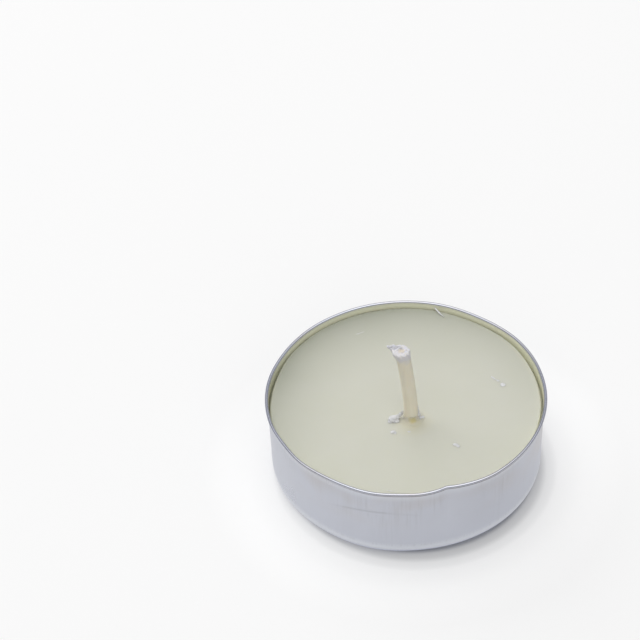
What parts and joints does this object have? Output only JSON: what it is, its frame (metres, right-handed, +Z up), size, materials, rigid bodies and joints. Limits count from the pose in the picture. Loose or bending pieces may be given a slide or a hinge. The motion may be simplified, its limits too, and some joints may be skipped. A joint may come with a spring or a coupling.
{
  "type": "tea light candle",
  "caption": "Round tea light candle: pale wax in a thin dented aluminium cup with a curled rim, and a short cut wick bent to one side.",
  "frame": {"origin": "middle of the cup's underside, on the surface it stands on", "axes": "+Z up through the wick, +X to the right and -Y to the front, where the rim is creased"},
  "size_m": [0.038, 0.0378, 0.0232],
  "materials": {
    "aluminium_sheet": "satin drawn sheet",
    "wax": "pale translucent wax",
    "wick_cotton": "cotton soaked in wax",
    "tinplate": "plain tinplate"
  },
  "bodies": {
    "root": {"cup": "aluminium_sheet", "wax": "wax", "wick": "wick_cotton", "wick_sustainer": "tinplate"}
  },
  "joints": []
}
